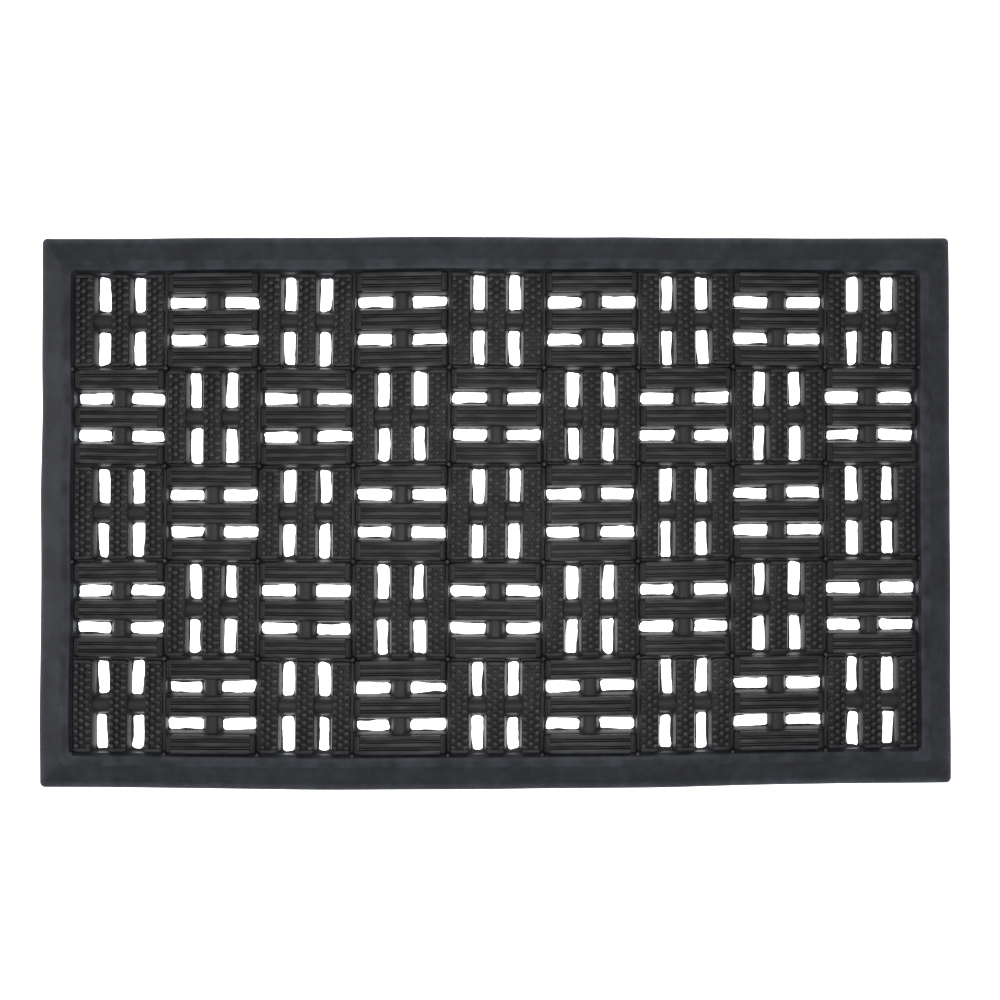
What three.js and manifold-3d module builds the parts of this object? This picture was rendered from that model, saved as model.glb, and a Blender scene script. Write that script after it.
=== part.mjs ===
// Moulded rubber door mat with a basket-weave drainage field inside a sloping border.
//
// Units are millimetres, +Z is up. The origin is the centre of the underside, +X runs along the
// length of the mat and +Y points to its back edge.
//
// The field is a checkerboard of square blocks. A ribbed block has three bars running left to
// right, a studded block has three bars running front to back. The bars of a block are joined by
// a bridge at mid-length and stand on a thin web that holds four drain slots.

import * as THREE from 'three';
import { mergeVertices } from 'three/addons/utils/BufferGeometryUtils.js';
import Module from 'manifold-3d';

// Driving dimensions of the whole mat.
const MAT_LENGTH = 762;
const MAT_DEPTH = 457.2;
const MAT_THICKNESS = 10;
const COLUMNS = 9;
const ROWS = 5;
const PITCH_X = 78.3;
const PITCH_Y = 79.6;

// Neighbouring sub-parts keep this much air between them.
const SEAM = 0.3;

// Levels inside a block, measured from the underside. Bars and bridges are rooted inside
// the web, so that the underside of a block is one flat face.
const WEB_THICKNESS = 1.5;
const ROOT = WEB_THICKNESS / 2;
const GROOVE_FLOOR = 4.5;
const BRIDGE_HEIGHT = 6.5;
const TREAD_FLOOR = 8.6;

// The drain slots and the bridge between them are the same in both kinds of block.
const SLOT_LENGTH = 29.6;
const SLOT_WIDTH = 11.4;
const SLOT_OFFSET = 22.6;
const BRIDGE_TOP = 7;
const BRIDGE_FOOT = 11.6;

// A ribbed block: wide bars, three flat ribs on each, long ramps at the bar ends.
const RIBBED = {
  cellLength: PITCH_X,
  cellWidth: PITCH_Y,
  barLength: 76,
  barWidth: 15.6,
  barSpacing: 30.9,
  endRamp: 4.5,
  endFace: (end) => [[end, GROOVE_FLOOR]],
  top: ribbedTop,
};
const RIB_WIDTH = 3.2;
const RIB_SPACING = 6.2;

// A studded block: narrower bars whose flat tops stand at the height of the stud tips.
const STUDDED = {
  cellLength: PITCH_Y,
  cellWidth: PITCH_X,
  barLength: 77,
  barWidth: 14.2,
  barSpacing: 29.7,
  endRamp: 3.5,
  endFace: (end) => [[end, GROOVE_FLOOR], [end, STUDDED_END_HEIGHT]],
  top: studdedTop,
};
const STUDDED_BEVEL = 1.1;
const STUDDED_END_HEIGHT = 7.4;

// The border: a flat crest beside the field, then a long slope to a thin outer edge.
const CREST_WIDTH = 8;
const CREST_BEVEL = 0.9;
const OUTER_EDGE_HEIGHT = 2.2;
const OUTER_EDGE_BEVEL = 1.4;

const wasm = await Module();
wasm.setup();

function toManifold(geometry) {
  const bare = geometry.clone();
  bare.deleteAttribute('normal');
  bare.deleteAttribute('uv');
  const merged = mergeVertices(bare, 1e-4);
  return new wasm.Manifold(new wasm.Mesh({
    numProp: 3,
    vertProperties: new Float32Array(merged.attributes.position.array),
    triVerts: new Uint32Array(merged.index.array),
  }));
}

function toGeometry(solid) {
  const mesh = solid.getMesh();
  const geometry = new THREE.BufferGeometry();
  geometry.setAttribute('position', new THREE.BufferAttribute(new Float32Array(mesh.vertProperties), 3));
  geometry.setIndex(new THREE.BufferAttribute(new Uint32Array(mesh.triVerts), 1));
  geometry.computeVertexNormals();
  return geometry;
}

function joinAll(solids) {
  return solids.reduce((whole, piece) => whole.add(piece));
}

function outline(points) {
  return new THREE.Shape(points.map(([x, y]) => new THREE.Vector2(x, y)));
}

function prism(points, depth) {
  return new THREE.ExtrudeGeometry(outline(points), { depth, bevelEnabled: false, steps: 1 });
}

// A profile drawn in X and Z, extruded along Y and centred on y.
function prismAcross(profile, y, width) {
  return toManifold(prism(profile, width).rotateX(Math.PI / 2).translate(0, y + width / 2, 0));
}

// A profile drawn in Y and Z, extruded along X and centred on zero.
function prismAlong(profile, length) {
  const geometry = prism(profile, length);
  geometry.rotateX(Math.PI / 2);
  geometry.rotateZ(Math.PI / 2);
  return toManifold(geometry.translate(-length / 2, 0, 0));
}

// The section of a ribbed bar: three flat ribs with a groove on each side of the middle one.
function ribbedTop() {
  const edge = RIBBED.barWidth / 2;
  const ribEdge = RIB_WIDTH / 2;
  const sideRib = RIB_SPACING - ribEdge;
  return [
    [edge, MAT_THICKNESS], [sideRib, MAT_THICKNESS], [sideRib, TREAD_FLOOR],
    [ribEdge, TREAD_FLOOR], [ribEdge, MAT_THICKNESS],
    [-ribEdge, MAT_THICKNESS], [-ribEdge, TREAD_FLOOR],
    [-sideRib, TREAD_FLOOR], [-sideRib, MAT_THICKNESS], [-edge, MAT_THICKNESS],
  ];
}

// The section of a studded bar: a flat top at the height of the stud tips, with bevelled edges.
function studdedTop() {
  const edge = STUDDED.barWidth / 2;
  const top = edge - STUDDED_BEVEL;
  return [[edge, TREAD_FLOOR], [top, MAT_THICKNESS], [-top, MAT_THICKNESS], [-edge, TREAD_FLOOR]];
}

// The whole section of a bar. The outer bars also have a low ledge that closes the groove beside
// the block, out to the edge of the cell.
function barSection(kind, row) {
  const y = row * kind.barSpacing;
  const edge = kind.barWidth / 2;
  const ledge = (kind.cellWidth - SEAM) / 2;
  const right = row > 0 ? [[ledge, ROOT], [ledge, GROOVE_FLOOR], [y + edge, GROOVE_FLOOR]] : [[y + edge, ROOT]];
  const left = row < 0 ? [[y - edge, GROOVE_FLOOR], [-ledge, GROOVE_FLOOR], [-ledge, ROOT]] : [[y - edge, ROOT]];
  return [...right, ...kind.top().map(([across, z]) => [y + across, z]), ...left];
}

// A bar seen from its side: flat on top, falling at both ends to a low foot that reaches across
// the groove to the edge of the cell.
function barSide(kind) {
  const foot = (kind.cellLength - SEAM) / 2;
  const end = kind.barLength / 2;
  const flat = end - kind.endRamp;
  return [
    [-foot, 0], [foot, 0], [foot, GROOVE_FLOOR], ...kind.endFace(end),
    [flat, MAT_THICKNESS], [-flat, MAT_THICKNESS],
    ...kind.endFace(-end).reverse(), [-foot, GROOVE_FLOOR],
  ];
}

// One bar of a block.
function bar(kind, row) {
  const run = prismAlong(barSection(kind, row), kind.cellLength - SEAM);
  return run.intersect(prismAcross(barSide(kind), 0, kind.cellWidth + 2));
}

// The bridge joins the three bars at mid-length: a low bar with sloping sides and a flat crown.
function bridge(kind) {
  const foot = BRIDGE_FOOT / 2;
  const top = BRIDGE_TOP / 2;
  const profile = [[-foot, ROOT], [foot, ROOT], [top, BRIDGE_HEIGHT], [-top, BRIDGE_HEIGHT]];
  return prismAcross(profile, 0, 2 * kind.barSpacing);
}

// The thin web under the whole block, with its four drain slots.
function web(kind) {
  const length = kind.cellLength - SEAM;
  const width = kind.cellWidth - SEAM;
  const plate = new THREE.BoxGeometry(length, width, WEB_THICKNESS).translate(0, 0, WEB_THICKNESS / 2);
  let solid = toManifold(plate);
  for (const along of [-1, 1]) {
    for (const across of [-1, 1]) {
      const slot = new THREE.BoxGeometry(SLOT_LENGTH, SLOT_WIDTH, 3 * WEB_THICKNESS);
      slot.translate(along * SLOT_OFFSET, across * kind.barSpacing / 2, 0);
      solid = solid.subtract(toManifold(slot));
    }
  }
  return solid;
}

// One block of the field with its bars along X, centred on the origin.
function block(kind) {
  const solids = [web(kind), bridge(kind)];
  for (const row of [-1, 0, 1]) {
    solids.push(bar(kind, row));
  }
  return toGeometry(joinAll(solids));
}

// One straight side of the border. Its section is drawn from the field outwards, it is extruded
// along the side, and its two ends are swept out to the corners of the mat.
function borderRail(innerLength, width, sweep) {
  const seam = SEAM / 2;
  const section = [
    [seam, 0], [width, 0], [width, OUTER_EDGE_HEIGHT],
    [width - OUTER_EDGE_BEVEL, OUTER_EDGE_HEIGHT + OUTER_EDGE_BEVEL * 0.7],
    [CREST_WIDTH, MAT_THICKNESS], [seam + CREST_BEVEL, MAT_THICKNESS],
    [seam, MAT_THICKNESS - CREST_BEVEL],
  ];
  const geometry = prism(section, innerLength);
  geometry.translate(0, 0, -innerLength / 2);
  const position = geometry.attributes.position;
  for (let i = 0; i < position.count; i += 1) {
    const end = Math.sign(position.getZ(i));
    const reach = innerLength / 2 + sweep * position.getX(i) / width - seam;
    position.setZ(i, end * reach);
  }
  // Section X points outwards, section Y is up and the extrusion runs along the side.
  geometry.rotateX(Math.PI / 2);
  return toGeometry(toManifold(geometry));
}

const borderX = (MAT_LENGTH - COLUMNS * PITCH_X) / 2;
const borderY = (MAT_DEPTH - ROWS * PITCH_Y) / 2;

function rubber(color, roughness) {
  return new THREE.MeshStandardMaterial({ color, roughness, metalness: 0 });
}

function addPiece(group, name, geometry, material) {
  const mesh = new THREE.Mesh(geometry, material);
  mesh.name = name;
  group.add(mesh);
  return mesh;
}

function buildBorder() {
  const border = new THREE.Group();
  const fieldX = COLUMNS * PITCH_X;
  const fieldY = ROWS * PITCH_Y;
  const sides = [
    ['border_right', fieldY, borderX, borderY, 0, fieldX / 2, 0],
    ['border_back', fieldX, borderY, borderX, 0.5, 0, fieldY / 2],
    ['border_left', fieldY, borderX, borderY, 1, -fieldX / 2, 0],
    ['border_front', fieldX, borderY, borderX, 1.5, 0, -fieldY / 2],
  ];
  for (const [name, innerLength, width, sweep, halfTurns, x, y] of sides) {
    const rail = addPiece(border, name, borderRail(innerLength, width, sweep), rubber(0x38383a, 0.6));
    rail.position.set(x, y, 0);
    rail.rotation.z = halfTurns * Math.PI;
  }
  return border;
}

function buildField() {
  const field = new THREE.Group();
  const ribbedGeometry = block(RIBBED);
  const studdedGeometry = block(STUDDED);
  for (let row = 0; row < ROWS; row += 1) {
    for (let column = 0; column < COLUMNS; column += 1) {
      const studded = (row + column) % 2 === 0;
      const place = `r${row + 1}_c${column + 1}`;
      const piece = studded
        ? addPiece(field, `studded_block_${place}`, studdedGeometry.clone(), rubber(0x2c2c2e, 0.65))
        : addPiece(field, `ribbed_block_${place}`, ribbedGeometry.clone(), rubber(0x303032, 0.6));
      piece.position.x = (column - (COLUMNS - 1) / 2) * PITCH_X;
      piece.position.y = ((ROWS - 1) / 2 - row) * PITCH_Y;
      piece.rotation.z = studded ? Math.PI / 2 : 0;
    }
  }
  return field;
}

const doorMat = new THREE.Group();
doorMat.add(buildBorder());
doorMat.add(buildField());

export default doorMat;
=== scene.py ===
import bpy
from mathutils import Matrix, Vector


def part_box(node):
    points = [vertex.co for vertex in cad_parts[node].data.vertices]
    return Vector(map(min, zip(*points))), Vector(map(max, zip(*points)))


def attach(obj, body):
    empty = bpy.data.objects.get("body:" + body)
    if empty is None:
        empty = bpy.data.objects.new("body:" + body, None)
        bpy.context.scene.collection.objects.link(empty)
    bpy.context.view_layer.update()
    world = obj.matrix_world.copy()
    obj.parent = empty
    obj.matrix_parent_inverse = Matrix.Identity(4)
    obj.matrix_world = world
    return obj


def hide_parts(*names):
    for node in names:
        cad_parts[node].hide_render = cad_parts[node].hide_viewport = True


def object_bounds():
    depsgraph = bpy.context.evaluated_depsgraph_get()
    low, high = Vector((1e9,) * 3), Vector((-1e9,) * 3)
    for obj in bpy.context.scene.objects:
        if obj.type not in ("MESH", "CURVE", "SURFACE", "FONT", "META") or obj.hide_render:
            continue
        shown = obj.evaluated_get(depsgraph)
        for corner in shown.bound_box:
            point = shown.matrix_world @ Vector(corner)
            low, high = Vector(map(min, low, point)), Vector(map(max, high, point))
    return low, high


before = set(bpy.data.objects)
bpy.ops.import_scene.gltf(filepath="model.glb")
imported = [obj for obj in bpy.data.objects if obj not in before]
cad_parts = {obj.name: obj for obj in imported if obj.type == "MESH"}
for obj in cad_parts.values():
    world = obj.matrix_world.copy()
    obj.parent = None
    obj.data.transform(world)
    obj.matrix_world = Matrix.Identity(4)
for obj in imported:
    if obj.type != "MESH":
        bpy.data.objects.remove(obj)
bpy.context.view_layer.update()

from math import radians

import bpy

# ---------------------------------------------------------------------------------------------
# The lie of the mat. The real mat is a limp sheet of rubber that never lies quite true: its front
# edge sags outwards by a few millimetres and its bars wander. One lattice and one slow wave run
# through every piece, so neighbours stay together.
# ---------------------------------------------------------------------------------------------
MM = 0.001
WAVE_LENGTH_X = 70 * MM
WAVE_LENGTH_Y = 91 * MM
WAVE_REACH = 1.6 * MM

# Millimetres that the front and the back edge are pulled along X and Y, at five places from left
# to right. The front edge sags outwards left of the middle, and the back edge bows a little.
FRONT_PULL = [(-1, -2), (-5, -5), (-1, -7), (1, -1), (0, 4)]
BACK_PULL = [(3, 0), (-1, 2), (3, 4), (2, 2), (-3, -1)]


def add_clouds(name, size, depth):
    clouds = bpy.data.textures.new(name, "CLOUDS")
    clouds.noise_scale = size
    clouds.noise_depth = depth
    return clouds


def wander(piece, clouds, reach, directions, space=None):
    """Moves the surface sideways by a cloud pattern that is fixed in the mat's or another space."""
    bpy.context.view_layer.objects.active = piece
    for direction in directions:
        push = piece.modifiers.new("wander", "DISPLACE")
        push.texture = clouds[direction]
        push.texture_coords = "OBJECT" if space else "GLOBAL"
        push.texture_coords_object = space
        push.direction = direction
        push.strength = reach
        push.mid_level = 0.5
        bpy.ops.object.modifier_apply(modifier=push.name)


def add_sheet_lattice(low, high):
    """A flat lattice over the whole mat, with its points pulled off true."""
    bpy.ops.object.add(type="LATTICE")
    cage = bpy.context.active_object
    cage.data.points_u = len(FRONT_PULL)
    cage.data.points_v = 2
    cage.data.points_w = 1
    points = cage.data.points
    span = [points[-1].co[i] - points[0].co[i] for i in (0, 1)]
    cage.scale = ((high.x - low.x) / span[0], (high.y - low.y) / span[1], 1)
    for point, (pull_x, pull_y) in zip(points, FRONT_PULL + BACK_PULL):
        x, y, z = point.co
        point.co_deform = (x + pull_x * MM / cage.scale.x, y + pull_y * MM / cage.scale.y, z)
    bpy.context.view_layer.update()
    return cage


def lay_down(piece):
    """Lets a finished piece lie as the whole sheet lies."""
    wander(piece, slow_wave, WAVE_REACH, "XY")
    settle = piece.modifiers.new("settle", "LATTICE")
    settle.object = sheet_lattice
    bpy.ops.object.modifier_apply(modifier=settle.name)


slow_wave = {
    "X": add_clouds("slow_wave_x", WAVE_LENGTH_X, 0),
    "Y": add_clouds("slow_wave_y", WAVE_LENGTH_Y, 0),
}
sheet_lattice = add_sheet_lattice(*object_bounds())

# ---------------------------------------------------------------------------------------------
# Rubber. The whole mat is pressed from one black recycled-rubber compound, so its skin shows a fine
# grain, slow mottling from the mould, pale flecks of crumb and a dusty wear on what stands proud,
# with a painted highlight on those tops. Painted shade darkens the pockets between studs and ribs,
# painted light lifts the bridges and feet, and a painted sheen lifts the low lip. The spots of wear
# are broader on the border than on the tread.

# How many times each pattern of the skin repeats in a metre.
CLOUDS_PER_METRE = 30
PATCHES_PER_METRE = 120
SPOTS_PER_METRE = 210
SPECKLES_PER_METRE = 620
CRUMBS_PER_METRE = 900
GRAINS_PER_METRE = 2600

# How much each pattern adds to the pale bloom on the rubber, a colour that also carries painted
# light.
CLOUD_SHARE = 0.5
PATCH_SHARE = 0.35
SPECKLE_SHARE = 0.25
CRUMB_SHARE = 0.25

# Wear and painted highlight reach a little even between their spots, and patches only vary the
# scuffing and painted sheen of the lip.
LEAST_WEAR_AND_HIGHLIGHT = 0.15
LEAST_SCUFF_AND_SHEEN = 0.8
PATCH_SCUFF_AND_SHEEN = 0.4

# How the patterns change the gloss and the relief of the skin.
PATCH_ROUGHNESS = 0.12
CLOUD_GLOSS = 0.06
PATCH_RELIEF = 0.6
GRAIN_RELIEF = 0.5
RELIEF_STRENGTH = 0.5
RELIEF_DEPTH = 0.1 * MM

# Steps in height between one state of the skin and the next. The pockets between the studs and
# between the ribs take a near-black painted shade, the tops a painted highlight with their wear,
# the bridges and feet dust and painted light, and the lip scuffing and a painted sheen.
WORN_AND_HIGHLIT_STEP = (8.9 * MM, 9.7 * MM)
ABOVE_SHADED_POCKETS = (8.3 * MM, 8.8 * MM)
BELOW_SHADED_POCKETS = (7.5 * MM, 6.9 * MM)
DUST_AND_LIGHT_BEGINS = (4.9 * MM, 5.8 * MM)
DUST_AND_LIGHT_ENDS = (7.2 * MM, 6.5 * MM)
SCUFF_AND_SHEEN_STEP = (4.6 * MM, 2.8 * MM)


def group_socket(group, name, kind, in_out):
    group.interface.new_socket(name=name, in_out=in_out, socket_type=kind)


def add_node(tree, kind, **settings):
    node = tree.nodes.new(kind)
    for name, value in settings.items():
        setattr(node, name, value)
    return node


def ramp(tree, source, zero_at, one_at):
    """A mask that rises smoothly from 0 to 1 between two values of its source."""
    node = add_node(tree, "ShaderNodeMapRange", interpolation_type="SMOOTHSTEP")
    node.inputs["From Min"].default_value = zero_at
    node.inputs["From Max"].default_value = one_at
    tree.links.new(source, node.inputs["Value"])
    return node.outputs["Result"]


def noise(tree, place, scale, detail, roughness=0.55):
    node = add_node(tree, "ShaderNodeTexNoise")
    node.inputs["Scale"].default_value = scale
    node.inputs["Detail"].default_value = detail
    node.inputs["Roughness"].default_value = roughness
    tree.links.new(place, node.inputs["Vector"])
    return node.outputs["Fac"]


def maths(tree, operation, first, second):
    node = add_node(tree, "ShaderNodeMath", operation=operation)
    for socket, value in zip(node.inputs, (first, second)):
        if isinstance(value, (int, float)):
            socket.default_value = value
        else:
            tree.links.new(value, socket)
    return node.outputs["Value"]


def scaled(tree, mask, share):
    return maths(tree, "MULTIPLY", mask, share)


def blend_colours(tree, mask, first, second):
    node = add_node(tree, "ShaderNodeMix", data_type="RGBA")
    tree.links.new(mask, node.inputs["Factor"])
    for socket, value in ((node.inputs["A"], first), (node.inputs["B"], second)):
        if isinstance(value, tuple):
            socket.default_value = value
        else:
            tree.links.new(value, socket)
    return node.outputs["Result"]


def build_rubber_skin():
    """Colour, roughness and height of pressed recycled rubber, with painted shade in its pockets
    and painted highlight, light and sheen on its tops, bridges and lip.
    """
    group = bpy.data.node_groups.new("rubber_skin", "ShaderNodeTree")
    for name in ("Rubber", "Painted_shade", "Bloom_and_light"):
        group_socket(group, name, "NodeSocketColor", "INPUT")
    for name in ("Roughness", "Mottle", "Wear_and_highlight", "Dust_and_light", "Scuff_and_sheen"):
        group_socket(group, name, "NodeSocketFloat", "INPUT")
    group_socket(group, "Streak", "NodeSocketVector", "INPUT")
    group_socket(group, "Colour", "NodeSocketColor", "OUTPUT")
    group_socket(group, "Roughness", "NodeSocketFloat", "OUTPUT")
    group_socket(group, "Height", "NodeSocketFloat", "OUTPUT")
    given = add_node(group, "NodeGroupInput").outputs
    place = add_node(group, "ShaderNodeTexCoord").outputs["Object"]
    split = add_node(group, "ShaderNodeSeparateXYZ")
    group.links.new(place, split.inputs["Vector"])

    stretch = add_node(group, "ShaderNodeVectorMath", operation="MULTIPLY")
    group.links.new(place, stretch.inputs[0])
    group.links.new(given["Streak"], stretch.inputs[1])
    streaked = stretch.outputs["Vector"]

    cloud = ramp(group, noise(group, place, CLOUDS_PER_METRE, 2), 0.36, 0.7)
    patch = ramp(group, noise(group, place, PATCHES_PER_METRE, 4, 0.6), 0.38, 0.72)
    speckle = ramp(group, noise(group, place, SPECKLES_PER_METRE, 3, 0.6), 0.38, 0.68)
    spot = ramp(group, noise(group, streaked, SPOTS_PER_METRE, 1, 0.5), 0.34, 0.66)
    crumb = ramp(group, noise(group, place, CRUMBS_PER_METRE, 1, 0.4), 0.7, 0.78)
    grain = noise(group, place, GRAINS_PER_METRE, 2)

    # Masks by height: the worn tops with their painted highlight, all but the pockets of painted
    # shade, the bridges and feet with dust and painted light, and the low parts with scuffing and
    # painted sheen.
    z = split.outputs["Z"]
    # Painted highlight: the tops are lightened as wear and as the light they catch.
    worn_and_highlit = ramp(group, z, *WORN_AND_HIGHLIT_STEP)
    worn_and_highlit = maths(group, "MULTIPLY", worn_and_highlit, maths(group, "ADD", spot, LEAST_WEAR_AND_HIGHLIGHT))
    # Painted shade: clear is 0 in the pockets between studs and ribs, where the colour turns to the
    # near-black painted shade.
    clear = maths(group, "MAXIMUM", ramp(group, z, *ABOVE_SHADED_POCKETS), ramp(group, z, *BELOW_SHADED_POCKETS))
    # Painted light: the bridges and feet are lightened as dust and as the light that falls on them.
    dusty_and_lit = maths(group, "MULTIPLY", ramp(group, z, *DUST_AND_LIGHT_BEGINS), ramp(group, z, *DUST_AND_LIGHT_ENDS))
    # Painted sheen: the low lip is lightened as scuffing and as the sheen it catches.
    uneven = maths(group, "ADD", scaled(group, patch, PATCH_SCUFF_AND_SHEEN), LEAST_SCUFF_AND_SHEEN)
    scuffed_and_sheened = maths(group, "MULTIPLY", ramp(group, z, *SCUFF_AND_SHEEN_STEP), uneven)

    mottled = scaled(group, cloud, CLOUD_SHARE)
    mottled = maths(group, "ADD", mottled, scaled(group, patch, PATCH_SHARE))
    mottled = maths(group, "ADD", mottled, scaled(group, speckle, SPECKLE_SHARE))
    # The bloom mixes real mottling and crumb with the painted highlight, painted light and painted
    # sheen above.
    bloom_and_light = maths(group, "MULTIPLY", mottled, given["Mottle"])
    for mask, amount in ((worn_and_highlit, "Wear_and_highlight"), (dusty_and_lit, "Dust_and_light"), (scuffed_and_sheened, "Scuff_and_sheen")):
        bloom_and_light = maths(group, "ADD", bloom_and_light, maths(group, "MULTIPLY", mask, given[amount]))
    bloom_and_light = maths(group, "ADD", bloom_and_light, scaled(group, crumb, CRUMB_SHARE))
    # Painted shade darkens the pockets first, then the bloom lightens the rest with real mottling
    # and painted light.
    colour = blend_colours(group, clear, given["Painted_shade"], given["Rubber"])
    colour = blend_colours(group, bloom_and_light, colour, given["Bloom_and_light"])

    rough = maths(group, "ADD", given["Roughness"], scaled(group, patch, PATCH_ROUGHNESS))
    rough = maths(group, "SUBTRACT", rough, scaled(group, cloud, CLOUD_GLOSS))

    relief = scaled(group, patch, PATCH_RELIEF)
    relief = maths(group, "ADD", relief, scaled(group, grain, GRAIN_RELIEF))

    out = add_node(group, "NodeGroupOutput").inputs
    group.links.new(colour, out["Colour"])
    group.links.new(rough, out["Roughness"])
    group.links.new(relief, out["Height"])
    return group


rubber_skin = build_rubber_skin()


def rubber(name, colour, painted_shade, bloom_and_light, roughness, mottle, wear_and_highlight, dust_and_light, scuff_and_sheen, streak):
    """A material of the mat's compound, with its own depth of colour, gloss and wear, and its own
    strength of painted shade, highlight, light and sheen.
    """
    material = bpy.data.materials.new(name)
    material.use_nodes = True
    tree = material.node_tree
    shader = tree.nodes["Principled BSDF"]
    shader.inputs["Specular IOR Level"].default_value = 0.5
    skin = add_node(tree, "ShaderNodeGroup", node_tree=rubber_skin)
    skin.inputs["Rubber"].default_value = (*colour, 1)
    skin.inputs["Painted_shade"].default_value = (*painted_shade, 1)
    skin.inputs["Bloom_and_light"].default_value = (*bloom_and_light, 1)
    skin.inputs["Roughness"].default_value = roughness
    skin.inputs["Mottle"].default_value = mottle
    skin.inputs["Wear_and_highlight"].default_value = wear_and_highlight
    skin.inputs["Dust_and_light"].default_value = dust_and_light
    skin.inputs["Scuff_and_sheen"].default_value = scuff_and_sheen
    skin.inputs["Streak"].default_value = streak
    relief = add_node(tree, "ShaderNodeBump")
    relief.inputs["Strength"].default_value = RELIEF_STRENGTH
    relief.inputs["Distance"].default_value = RELIEF_DEPTH
    tree.links.new(skin.outputs["Height"], relief.inputs["Height"])
    tree.links.new(skin.outputs["Colour"], shader.inputs["Base Color"])
    tree.links.new(skin.outputs["Roughness"], shader.inputs["Roughness"])
    tree.links.new(relief.outputs["Normal"], shader.inputs["Normal"])
    return material


# ---------------------------------------------------------------------------------------------
# Border. One continuous frame of rubber: a low lip round the outside, a long ramp that feet can't
# catch on, a flat crest, and a short drop to the groove that runs round the field.
# ---------------------------------------------------------------------------------------------
COLUMNS = 9
ROWS = 5
FIELD_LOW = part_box("studded_block_r5_c1")[0]
FIELD_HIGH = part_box("studded_block_r1_c9")[1]
SEAM = 0.3 * MM
FIELD_X = (FIELD_HIGH.x - FIELD_LOW.x + SEAM) / 2
FIELD_Y = (FIELD_HIGH.y - FIELD_LOW.y + SEAM) / 2
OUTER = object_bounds()[1]
BORDER_X = OUTER.x - FIELD_X
BORDER_Y = OUTER.y - FIELD_Y
CORNER_RADIUS = 3.8 * MM

# Distance outwards from the field, as a share of the border's width, and height.
BORDER_START = -0.042
BORDER_SECTION = [
    (-0.018, 7.0 * MM), (-0.005, 7.3 * MM), (0.012, 7.6 * MM), (0.042, 9.2 * MM),
    (0.054, 9.72 * MM), (0.074, 10.0 * MM), (0.15, 10.0 * MM), (0.20, 9.93 * MM),
    (0.26, 9.7 * MM), (0.32, 9.33 * MM), (0.38, 8.8 * MM), (0.81, 4.2 * MM),
    (0.86, 3.8 * MM), (0.94, 3.4 * MM), (0.975, 2.9 * MM), (1.0, 1.9 * MM),
    (1.0, 0.4 * MM), (0.988, 0.0),
]


def select_only(*pieces):
    if bpy.context.mode != "OBJECT":
        bpy.ops.object.mode_set(mode="OBJECT")
    bpy.ops.object.select_all(action="DESELECT")
    for piece in pieces:
        piece.select_set(True)
    bpy.context.view_layer.objects.active = pieces[0]


def edit(piece, kind):
    """Opens a piece in edit mode with nothing selected, to work on its VERT, EDGE or FACE."""
    select_only(piece)
    bpy.ops.object.mode_set(mode="EDIT")
    bpy.ops.mesh.select_mode(type=kind)
    bpy.ops.mesh.select_all(action="DESELECT")


def pick(piece, kind, test):
    """Selects the edges or faces of a piece that pass a test."""
    edit(piece, kind)
    bpy.ops.object.mode_set(mode="OBJECT")
    mesh = piece.data
    if kind == "EDGE":
        for edge in mesh.edges:
            ends = [mesh.vertices[i].co for i in edge.vertices]
            edge.select = test(*ends)
    else:
        for face in mesh.polygons:
            face.select = test(face)
    bpy.ops.object.mode_set(mode="EDIT")


def longer_than(length):
    return lambda a, b: (a - b).length > length


def finish_mesh(piece, name, smooth_angle):
    """Closes edit mode, points the faces outwards and gives the piece its name and shading."""
    edit(piece, "FACE")
    bpy.ops.mesh.select_all(action="SELECT")
    bpy.ops.mesh.normals_make_consistent(inside=False)
    bpy.ops.object.mode_set(mode="OBJECT")
    bpy.ops.object.shade_smooth_by_angle(angle=radians(smooth_angle))
    piece.name = name
    piece.data.name = name
    return piece


def add_plane(x, y, z, width, depth):
    bpy.ops.object.select_all(action="DESELECT")
    bpy.ops.mesh.primitive_plane_add(size=1, location=(x, y, z))
    piece = bpy.context.active_object
    piece.scale = (width, depth, 1)
    bpy.ops.object.transform_apply(location=True, rotation=True, scale=True)
    return piece


border = add_plane(
    0, 0, 0, 2 * (FIELD_X + BORDER_START * BORDER_X), 2 * (FIELD_Y + BORDER_START * BORDER_Y))
edit(border, "VERT")
bpy.ops.mesh.select_all(action="SELECT")
bpy.ops.mesh.bevel(offset=CORNER_RADIUS, segments=7, affect="VERTICES")
bpy.ops.mesh.select_all(action="SELECT")
bpy.ops.mesh.delete(type="ONLY_FACE")
bpy.ops.mesh.select_mode(type="EDGE")
bpy.ops.mesh.select_all(action="SELECT")
share, level = BORDER_START, 0.0
for next_share, next_level in BORDER_SECTION:
    stretch_x = (FIELD_X + next_share * BORDER_X) / (FIELD_X + share * BORDER_X)
    stretch_y = (FIELD_Y + next_share * BORDER_Y) / (FIELD_Y + share * BORDER_Y)
    bpy.ops.mesh.extrude_edges_move(TRANSFORM_OT_translate={"value": (0, 0, next_level - level)})
    bpy.ops.transform.resize(value=(stretch_x, stretch_y, 1), center_override=(0, 0, 0))
    share, level = next_share, next_level

pick(border, "EDGE", lambda a, b: abs(a.z) + abs(b.z) < 1e-6)
bpy.ops.mesh.bridge_edge_loops()
pick(border, "EDGE", longer_than(FIELD_Y))
bpy.ops.mesh.subdivide(number_cuts=60)
finish_mesh(border, "border_frame", 35)
lay_down(border)
# On the border, wear lightens the crest with a painted highlight and scuff lightens the lip with a
# painted sheen.
border.data.materials.append(rubber(
    "border_rubber", colour=(0.0116, 0.0130, 0.0180), painted_shade=(0.0116, 0.0130, 0.0180),
    bloom_and_light=(0.103, 0.113, 0.143), roughness=0.48, mottle=0.26, wear_and_highlight=0.33, dust_and_light=0.0, scuff_and_sheen=0.68,
    streak=(0.3, 0.3, 0.3)))
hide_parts("border_back", "border_front", "border_left", "border_right")
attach(border, "root")

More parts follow.
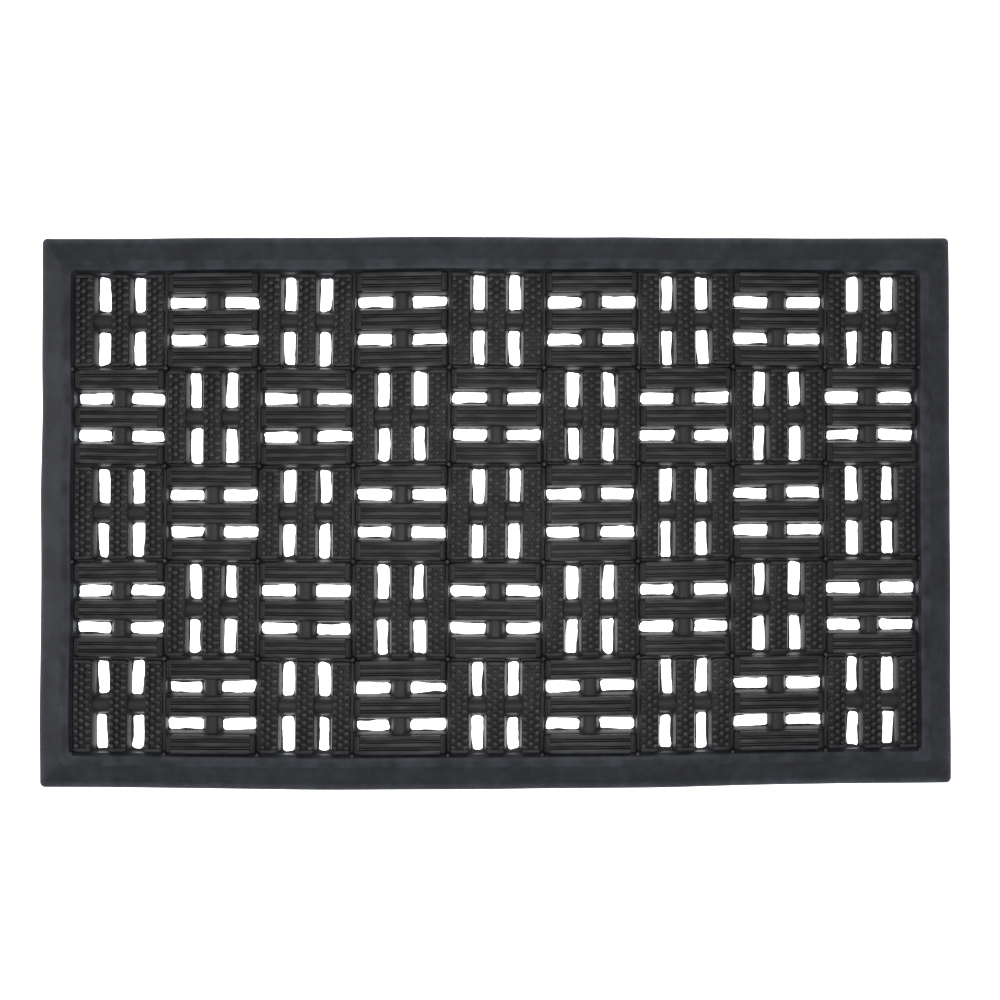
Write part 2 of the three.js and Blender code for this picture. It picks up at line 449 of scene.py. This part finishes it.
# ---------------------------------------------------------------------------------------------
# Drain slots. Every gap between two bars is a clean window in the mould, closed at the bottom by
# a thin web. Knocking the slots through leaves an uneven rim of flash, different in every slot.
# ---------------------------------------------------------------------------------------------
SLOT_LENGTH = 27.7 * MM
SLOT_WIDTH = 8.8 * MM
SLOT_OFFSET = 22.6 * MM
SLOT_CORNER = 2.4 * MM
RIM_THICKNESS = 0.4 * MM
RIM_LENGTH = 38 * MM
RIM_WIDTH = 18.5 * MM
FLASH_REACH = 4.0 * MM
FLASH_LENGTH_X = 11 * MM
FLASH_LENGTH_Y = 10 * MM
NICK_REACH = 0.8 * MM
NICK_LENGTH_X = 5 * MM
NICK_LENGTH_Y = 6 * MM

flash_wave = {
    "X": add_clouds("flash_wave_x", FLASH_LENGTH_X, 1),
    "Y": add_clouds("flash_wave_y", FLASH_LENGTH_Y, 1),
}
nick_wave = {
    "X": add_clouds("nick_wave_x", NICK_LENGTH_X, 2),
    "Y": add_clouds("nick_wave_y", NICK_LENGTH_Y, 2),
}


def add_stretched_space(stretch_x, stretch_y):
    """An empty whose space draws a cloud pattern out along the slots."""
    bpy.ops.object.empty_add(location=(0, 0, 0))
    space = bpy.context.active_object
    space.scale = (stretch_x, stretch_y, 1)
    bpy.context.view_layer.update()
    return space


def join(pieces):
    select_only(*pieces)
    bpy.ops.object.join()
    return bpy.context.active_object


def add_slot_rim(x, y):
    """The thin rim round one slot that runs along X. Its outer edge is buried in the walls."""
    rim = add_plane(x, y, 0, SLOT_LENGTH, SLOT_WIDTH)
    edit(rim, "VERT")
    bpy.ops.mesh.select_all(action="SELECT")
    bpy.ops.mesh.bevel(offset=SLOT_CORNER, segments=4, affect="VERTICES")
    bpy.ops.mesh.select_all(action="SELECT")
    bpy.ops.mesh.delete(type="ONLY_FACE")
    pick(rim, "EDGE", longer_than(SLOT_LENGTH / 2))
    bpy.ops.mesh.subdivide(number_cuts=13)
    pick(rim, "EDGE", longer_than(SLOT_WIDTH / 3))
    bpy.ops.mesh.subdivide(number_cuts=3)
    bpy.ops.mesh.select_all(action="SELECT")
    bpy.ops.mesh.extrude_edges_move()
    bpy.ops.transform.resize(
        value=(RIM_LENGTH / SLOT_LENGTH, RIM_WIDTH / SLOT_WIDTH, 1), center_override=(x, y, 0))
    bpy.ops.mesh.select_all(action="SELECT")
    bpy.ops.mesh.extrude_region_move(TRANSFORM_OT_translate={"value": (0, 0, RIM_THICKNESS)})
    return finish_mesh(rim, "slot_rim", 30)


def slot_rims(bar_spacing):
    return join([
        add_slot_rim(along * SLOT_OFFSET, across * bar_spacing / 2)
        for along in (-1, 1) for across in (-1, 1)
    ])


# ---------------------------------------------------------------------------------------------
# Ribbed block. Three bars running left to right, each with three flat round-ended ribs and a thin
# ridge in each of the two grooves between them. The bars end in a smooth stretch with no ribs,
# and a rounded bridge ties them at mid-length.
# ---------------------------------------------------------------------------------------------
PITCH_X = 2 * FIELD_X / COLUMNS
PITCH_Y = 2 * FIELD_Y / ROWS
GROOVE_FLOOR = 5.6 * MM
TREAD_TOP = 10 * MM
END_LEVEL = 9.0 * MM
END_CURVE = 2.6 * MM
END_ROOT = 6 * MM
FOOT_LAP = 1.4 * MM
FOOT_MARGIN = 0.5 * MM
FOOT_DRAFT = 1.2 * MM
FOOT_CURVE = 0.8 * MM
BAR_CORNER = 2.2 * MM
BAR_SHOULDER = 0.7 * MM
ROOT_DEPTH = 0.5 * MM
BRIDGE_HALF = 8.3 * MM
BRIDGE_HEIGHT = 6.1 * MM
BRIDGE_DRAFT = 4.0 * MM

RIBBED_SPACING = 30.9 * MM
RIBBED_BRIDGE_CURVE = 2.4 * MM
RIBBED_LENGTH = 76.4 * MM
RIBBED_WIDTH = 16.8 * MM
RIBBED_FLOOR = 7.5 * MM
RIBBED_DRAFT = 2.3 * MM
RIB_LENGTH = 67.6 * MM
RIB_WIDTH = 3.6 * MM
RIB_SPACING = 6.05 * MM
RIB_END_DRAFT = 0.5 * MM
END_START = RIB_LENGTH / 2 - 0.6 * MM
RIDGE_WIDTH = 0.85 * MM
RIDGE_TOP = 9.5 * MM

# Shares of a rib's width: its draft on each side, the rounding of its ends and of its top edge.
RIB_TAPER = 0.04
RIB_END = 0.4
RIB_EDGE = 0.12

# Both kinds of block are skinned with the same near-black painted shade in their pockets and the
# same bloom, which also carries painted highlight and light.
POCKET_PAINTED_SHADE = (0.0030, 0.0030, 0.0036)
TREAD_BLOOM_AND_LIGHT = (0.119, 0.1205, 0.130)
TREAD_ROUGHNESS = 0.42


def add_box(low, high):
    """A box from one corner to the other, as the start of a piece."""
    size = [b - a for a, b in zip(low, high)]
    middle = [(a + b) / 2 for a, b in zip(low, high)]
    bpy.ops.object.select_all(action="DESELECT")
    bpy.ops.mesh.primitive_cube_add(size=1, location=middle)
    piece = bpy.context.active_object
    piece.scale = size
    bpy.ops.object.transform_apply(location=True, rotation=True, scale=True)
    return piece


def draw_in(piece, level, inset_x, inset_y):
    """Draws the box's face at one level in by a distance on every side, as mould draft does."""
    face = [v.co for v in piece.data.vertices if abs(v.co.z - level) < 1e-6]
    low_x, high_x = min(p.x for p in face), max(p.x for p in face)
    low_y, high_y = min(p.y for p in face), max(p.y for p in face)
    scale = (1 - 2 * inset_x / (high_x - low_x), 1 - 2 * inset_y / (high_y - low_y), 1)
    middle = ((low_x + high_x) / 2, (low_y + high_y) / 2, 0)
    pick(piece, "FACE", lambda face: abs(face.center.z - level) < 1e-6 and abs(face.normal.z) > 0.9)
    bpy.ops.transform.resize(value=scale, center_override=middle)
    bpy.ops.object.mode_set(mode="OBJECT")


def round_edges(piece, offset, segments, test):
    pick(piece, "EDGE", test)
    bpy.ops.mesh.bevel(offset=offset, segments=segments, affect="EDGES")
    bpy.ops.object.mode_set(mode="OBJECT")


def upright(a, b):
    return abs(a.z - b.z) > 0.7 * MM


def above(level):
    return lambda a, b: min(a.z, b.z) > level - 1e-6


def add_bar_core(y, length, width, floor, draft):
    """The body of a bar, with drafted walls, rounded corners and a rounded shoulder."""
    core = add_box((-length / 2, y - width / 2, 0), (length / 2, y + width / 2, floor))
    draw_in(core, 0.0, -draft, -draft)
    round_edges(core, BAR_CORNER, 4, upright)
    round_edges(core, BAR_SHOULDER, 3, above(floor))
    return finish_mesh(core, "bar", 40)


def add_bar_end(y, side, start, end, width, level, curve):
    """The smooth stretch beyond the ribs or studs at one end of a bar."""
    low, high = sorted((side * start, side * end))
    pad = add_box((low, y - width / 2, END_ROOT), (high, y + width / 2, level))

    def outer_corner(a, b):
        return upright(a, b) and side * a.x > end - 1e-6

    def outer_shoulder(a, b):
        return above(level)(a, b) and max(side * a.x, side * b.x) > start + 1e-6

    round_edges(pad, BAR_CORNER, 4, outer_corner)
    round_edges(pad, curve, 5, outer_shoulder)
    return finish_mesh(pad, "bar_end", 40)


def add_foot(low_y, high_y, reach, level):
    """The low foot of a bar, which crosses the groove to the neighbouring block."""
    foot = add_box((-reach, low_y, 0), (reach, high_y, level))
    draw_in(foot, 0.0, 0, -FOOT_DRAFT)
    round_edges(foot, FOOT_CURVE, 3, above(level))
    return finish_mesh(foot, "foot", 40)


def add_bridge(bar_spacing, curve):
    bridge = add_box((-BRIDGE_HALF, -bar_spacing, 0), (BRIDGE_HALF, bar_spacing, BRIDGE_HEIGHT))
    draw_in(bridge, BRIDGE_HEIGHT, BRIDGE_DRAFT, 0)
    crown = above(BRIDGE_HEIGHT)
    round_edges(bridge, curve, 6, lambda a, b: crown(a, b) and abs(a.y - b.y) > bar_spacing)
    return finish_mesh(bridge, "bridge", 40)


def add_rib(y, width, top):
    root = RIBBED_FLOOR - ROOT_DEPTH
    rib = add_box((-RIB_LENGTH / 2, y - width / 2, root), (RIB_LENGTH / 2, y + width / 2, top))
    draw_in(rib, top, RIB_END_DRAFT, RIB_TAPER * width)
    round_edges(rib, RIB_END * width, 4, upright)
    round_edges(rib, RIB_EDGE * width, 2, above(top))
    return finish_mesh(rib, "rib", 50)


def add_ribbed_bar(row):
    y = row * RIBBED_SPACING
    foot_half = RIBBED_WIDTH / 2 + FOOT_MARGIN
    pieces = [
        add_bar_core(y, RIBBED_LENGTH, RIBBED_WIDTH, RIBBED_FLOOR, RIBBED_DRAFT),
        add_foot(y - foot_half, y + foot_half, PITCH_X / 2 + FOOT_LAP, GROOVE_FLOOR),
    ]
    for side in (-1, 1):
        pieces.append(add_bar_end(
            y, side, END_START, RIBBED_LENGTH / 2, RIBBED_WIDTH, END_LEVEL, END_CURVE))
    for rib in (-1, 0, 1):
        pieces.append(add_rib(y + rib * RIB_SPACING, RIB_WIDTH, TREAD_TOP))
    for ridge in (-0.5, 0.5):
        pieces.append(add_rib(y + ridge * RIB_SPACING, RIDGE_WIDTH, RIDGE_TOP))
    return pieces


ribbed_pieces = [add_bridge(RIBBED_SPACING, RIBBED_BRIDGE_CURVE)]
for row in (-1, 0, 1):
    ribbed_pieces += add_ribbed_bar(row)
ribbed_master = join(ribbed_pieces)
ribbed_rims = slot_rims(RIBBED_SPACING)
ribbed_space = add_stretched_space(3, 1)
# The pockets of the tread take a painted shade; wear, dust and scuff add a painted highlight,
# painted light and a painted sheen.
ribbed_rubber = rubber(
    "ribbed_rubber", colour=(0.0132, 0.0134, 0.0152), painted_shade=POCKET_PAINTED_SHADE, bloom_and_light=TREAD_BLOOM_AND_LIGHT,
    roughness=TREAD_ROUGHNESS, mottle=0.16, wear_and_highlight=0.40, dust_and_light=0.22, scuff_and_sheen=0.15, streak=(0.2, 1, 1))


def place_copy(master, x, y):
    """A copy of a master piece with its own mesh, set down at its place on the mat."""
    select_only(master)
    bpy.ops.object.duplicate(linked=False)
    copy = bpy.context.active_object
    copy.location = (x, y, 0)
    bpy.ops.object.transform_apply(location=True, rotation=True, scale=True)
    return copy


def lay_block(node, body_master, rim_master, space, material):
    low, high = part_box(node)
    x = (low.x + high.x) / 2
    y = (low.y + high.y) / 2
    rims = place_copy(rim_master, x, y)
    wander(rims, flash_wave, FLASH_REACH, "XY", space)
    wander(rims, nick_wave, NICK_REACH, "XY")
    block = join([place_copy(body_master, x, y), rims])
    lay_down(block)
    block.name = node.replace("_block_", "_tread_")
    block.data.name = block.name
    block.data.materials.clear()
    block.data.materials.append(material)
    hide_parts(node)
    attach(block, "root")
    return block


for node in sorted(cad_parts):
    if node.startswith("ribbed_block"):
        lay_block(node, ribbed_master, ribbed_rims, ribbed_space, ribbed_rubber)

# ---------------------------------------------------------------------------------------------
# Studded block. Three bars running front to back. Each carries 35 small domed studs in three
# staggered columns, and ends in a smooth stretch with no studs. A ledge runs along both sides of
# the block, and a small pyramid stands where the grooves cross at its front corners.
# ---------------------------------------------------------------------------------------------
STUDDED_SPACING = 29.7 * MM
STUDDED_BRIDGE_CURVE = 3.9 * MM
STUDDED_LENGTH = 75.6 * MM
STUDDED_WIDTH = 14.8 * MM
STUDDED_DRAFT = 2.4 * MM
STUDDED_FLOOR = 7.7 * MM
PAD_LEVEL = 9.3 * MM
PAD_CURVE = 0.6 * MM
STUD_PITCH = 6.03 * MM
STUD_COLUMN = 4.7 * MM
STUD_RADIUS = 2.05 * MM
STUD_TAPER = 0.88
STUD_CURVE = 0.45 * MM
STUD_ROOT = STUDDED_FLOOR - 0.3 * MM
STUDS_BESIDE = 12
STUDS_MIDDLE = 11
LEDGE_EDGE = 39.5 * MM
LEDGE_LEVEL = GROOVE_FLOOR + 0.15 * MM
CROSS_RADIUS = 6.5 * MM
CROSS_TIP = 1.82 * MM
CROSS_HEIGHT = 9.6 * MM
CROSS_CURVE = 0.5 * MM


def add_stud_column(y, count):
    """A row of studs along X: one is shaped and the rest are arrayed from it."""
    bpy.ops.object.select_all(action="DESELECT")
    first = -(count - 1) / 2 * STUD_PITCH
    bpy.ops.mesh.primitive_cylinder_add(
        vertices=8, radius=STUD_RADIUS, depth=TREAD_TOP - STUD_ROOT,
        location=(first, y, (TREAD_TOP + STUD_ROOT) / 2))
    stud = bpy.context.active_object
    bpy.ops.object.transform_apply(location=True, rotation=True, scale=True)
    pick(stud, "FACE", lambda face: face.normal.z > 0.9)
    bpy.ops.transform.resize(value=(STUD_TAPER, STUD_TAPER, 1), center_override=(first, y, 0))
    round_edges(stud, STUD_CURVE, 2, above(TREAD_TOP))
    finish_mesh(stud, "stud", 60)
    more = stud.modifiers.new("repeat", "ARRAY")
    more.count = count
    more.use_relative_offset = False
    more.use_constant_offset = True
    more.constant_offset_displace = (STUD_PITCH, 0, 0)
    bpy.ops.object.modifier_apply(modifier=more.name)
    return stud


def add_studded_bar(row):
    y = row * STUDDED_SPACING
    foot_half = STUDDED_WIDTH / 2 + FOOT_MARGIN
    low_y = -LEDGE_EDGE if row < 0 else y - foot_half
    high_y = LEDGE_EDGE if row > 0 else y + foot_half
    pieces = [
        add_bar_core(y, STUDDED_LENGTH, STUDDED_WIDTH, STUDDED_FLOOR, STUDDED_DRAFT),
        add_foot(low_y, high_y, PITCH_Y / 2 + FOOT_LAP, LEDGE_LEVEL),
    ]
    last_stud = (STUDS_BESIDE - 1) / 2 * STUD_PITCH + STUD_RADIUS
    for side in (-1, 1):
        pieces.append(add_bar_end(
            y, side, last_stud, STUDDED_LENGTH / 2, STUDDED_WIDTH, PAD_LEVEL, PAD_CURVE))
    for column, count in ((-1, STUDS_BESIDE), (0, STUDS_MIDDLE), (1, STUDS_BESIDE)):
        pieces.append(add_stud_column(y + column * STUD_COLUMN, count))
    return pieces


def add_cross_pyramid(x, y):
    """The four-sided pyramid at a crossing. Its points run out along the grooves."""
    bpy.ops.object.select_all(action="DESELECT")
    bpy.ops.mesh.primitive_cone_add(
        vertices=4, radius1=CROSS_RADIUS, radius2=CROSS_TIP, depth=CROSS_HEIGHT,
        location=(x, y, CROSS_HEIGHT / 2))
    pyramid = bpy.context.active_object
    bpy.ops.object.transform_apply(location=True, rotation=True, scale=True)
    round_edges(pyramid, CROSS_CURVE, 2, above(CROSS_HEIGHT))
    return finish_mesh(pyramid, "cross_pyramid", 30)


studded_pieces = [add_bridge(STUDDED_SPACING, STUDDED_BRIDGE_CURVE)]
for row in (-1, 0, 1):
    studded_pieces += add_studded_bar(row)
for across in (-1, 1):
    studded_pieces.append(add_cross_pyramid(-PITCH_Y / 2, across * PITCH_X / 2))
studded_master = join(studded_pieces)
studded_rims = slot_rims(STUDDED_SPACING)
studded_space = add_stretched_space(1, 3)
# The pockets of the tread take a painted shade; wear, dust and scuff add a painted highlight,
# painted light and a painted sheen.
studded_rubber = rubber(
    "studded_rubber", colour=(0.0138, 0.0140, 0.0158), painted_shade=POCKET_PAINTED_SHADE, bloom_and_light=TREAD_BLOOM_AND_LIGHT,
    roughness=TREAD_ROUGHNESS, mottle=0.18, wear_and_highlight=0.50, dust_and_light=0.12, scuff_and_sheen=0.25, streak=(1, 1, 1))
for master in (studded_master, studded_rims):
    select_only(master)
    master.rotation_euler = (0, 0, radians(90))
    bpy.ops.object.transform_apply(location=True, rotation=True, scale=True)
for node in sorted(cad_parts):
    if node.startswith("studded_block"):
        lay_block(node, studded_master, studded_rims, studded_space, studded_rubber)
for aid in (ribbed_master, ribbed_rims, ribbed_space, studded_master, studded_rims, studded_space,
            sheet_lattice):
    bpy.data.objects.remove(aid)

# ---------------------------------------------------------------------------------------------
# Studio. The mat lies on a bright white floor under soft light from all round, a little stronger
# from the left. The camera hangs about a metre above it and looks straight down.
# ---------------------------------------------------------------------------------------------
FLOOR_SIZE = 6.0
FLOOR_DROP = 0.05 * MM
FLOOR_GLOW = 2.5
SKY_STRENGTH = 0.37
CAMERA_HEIGHT = 1.0
VIEW_WIDTH = 0.8385
SENSOR_WIDTH = 36.0
CAMERA_X = 3.4 * MM
CAMERA_Y = 9.9 * MM

bpy.ops.object.select_all(action="DESELECT")
bpy.ops.mesh.primitive_plane_add(size=FLOOR_SIZE, location=(0, 0, -FLOOR_DROP))
floor = bpy.context.active_object
floor.name = "floor"
white = bpy.data.materials.new("white_floor")
white.use_nodes = True
white_shader = white.node_tree.nodes["Principled BSDF"]
white_shader.inputs["Base Color"].default_value = (0.9, 0.9, 0.9, 1)
white_shader.inputs["Roughness"].default_value = 0.9
white_shader.inputs["Specular IOR Level"].default_value = 0.0
white_shader.inputs["Emission Color"].default_value = (1, 1, 1, 1)
white_shader.inputs["Emission Strength"].default_value = FLOOR_GLOW
floor.data.materials.append(white)

world = bpy.data.worlds.new("studio")
bpy.context.scene.world = world
world.use_nodes = True
sky = world.node_tree.nodes["Background"]
sky.inputs["Color"].default_value = (1, 1, 1, 1)
sky.inputs["Strength"].default_value = SKY_STRENGTH


def add_softbox(name, place, turn, size, power):
    bpy.ops.object.light_add(type="AREA", location=place, rotation=turn)
    lamp = bpy.context.active_object
    lamp.name = name
    lamp.data.shape = "SQUARE"
    lamp.data.size = size
    lamp.data.energy = power
    return lamp


add_softbox("left_softbox", (-2.0, 0.0, 0.6), (0, radians(-73), 0), 1.0, 4.6)
add_softbox("back_softbox", (0.1, 1.8, 1.0), (radians(-61), 0, 0), 1.0, 1.6)
add_softbox("top_softbox", (-0.10, -0.08, 1.9), (0, 0, 0), 0.9, 4.6)

bpy.ops.object.camera_add(location=(CAMERA_X, CAMERA_Y, CAMERA_HEIGHT), rotation=(0, 0, 0))
camera = bpy.context.active_object
camera.data.sensor_width = SENSOR_WIDTH
camera.data.lens = SENSOR_WIDTH * CAMERA_HEIGHT / VIEW_WIDTH
bpy.context.scene.camera = camera
bpy.context.scene.view_settings.view_transform = "Standard"
